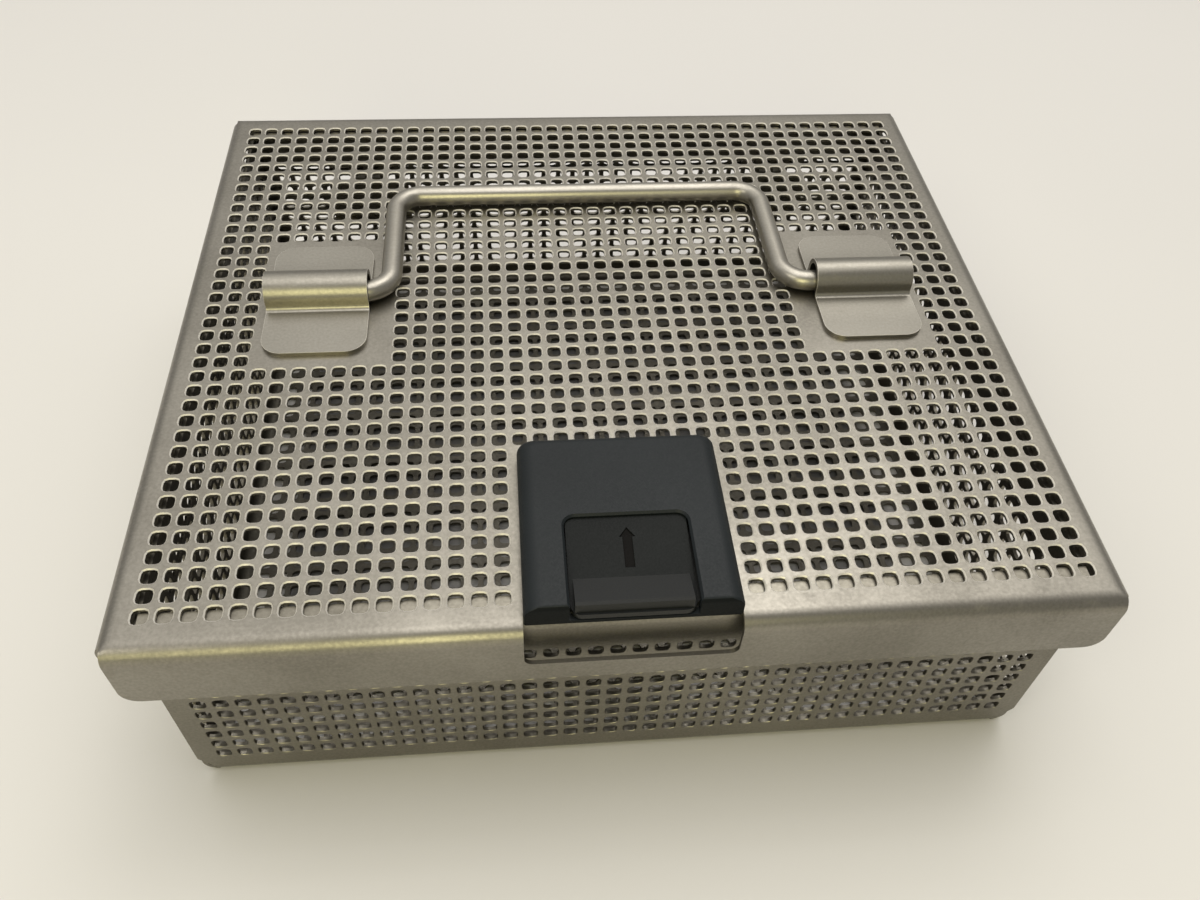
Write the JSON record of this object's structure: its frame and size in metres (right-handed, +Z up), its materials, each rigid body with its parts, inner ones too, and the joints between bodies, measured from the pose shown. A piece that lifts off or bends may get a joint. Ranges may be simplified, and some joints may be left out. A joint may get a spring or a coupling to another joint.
{
  "type": "instrument cassette",
  "caption": "Perforated steel instrument tray with hinged perforated lid, folding rod handle and sprung slide latch.",
  "frame": {"origin": "middle of the tray's underside, on the resting surface", "axes": "+X to the right, +Y to the hinged back, +Z up"},
  "size_m": [0.222, 0.2046, 0.0748],
  "materials": {
    "tray_steel": "satin perforated stainless sheet",
    "lid_steel": "satin perforated stainless sheet",
    "bracket_steel": "satin stainless strip",
    "rod_steel": "polished stainless rod",
    "pin_steel": "plain stainless",
    "housing_plastic": "satin moulded plastic",
    "slider_plastic": "satin moulded plastic"
  },
  "bodies": {
    "tray": {"base_tray": "tray_steel", "base_hinge_left": "tray_steel", "base_hinge_right": "tray_steel"},
    "lid": {"lid_sheet": "lid_steel", "lid_hinge_left": "lid_steel", "lid_hinge_right": "lid_steel", "hinge_pin_left": "pin_steel", "hinge_pin_right": "pin_steel", "handle_bracket_left": "bracket_steel", "handle_bracket_right": "bracket_steel", "latch_housing": "housing_plastic", "latch_plate": "bracket_steel", "latch_screw_1": "pin_steel", "latch_screw_2": "pin_steel", "latch_screw_3": "pin_steel", "latch_screw_4": "pin_steel", "latch_spring_left": "pin_steel", "latch_spring_right": "pin_steel"},
    "handle": {"handle_bail": "rod_steel"},
    "slider": {"latch_slider": "slider_plastic", "latch_bolt": "bracket_steel"}
  },
  "joints": [
    {"name": "lid_hinge", "type": "hinge", "parent": "tray", "child": "lid", "pos_m": [0, 0.1025, 0.046], "axis": [-1, 0, 0], "range_deg": [0, 110]},
    {"name": "handle_swing", "type": "hinge", "parent": "lid", "child": "handle", "pos_m": [0, 0.007, 0.06915], "axis": [1, 0, 0], "range_deg": [0, 180]},
    {"name": "latch_slide", "type": "slide", "parent": "lid", "child": "slider", "axis": [0, 1, 0], "range_m": [0, 0.005], "stiffness_N_per_m": 400, "springref_m": -0.004, "deforming": ["latch_spring_left", "latch_spring_right"]}
  ]
}
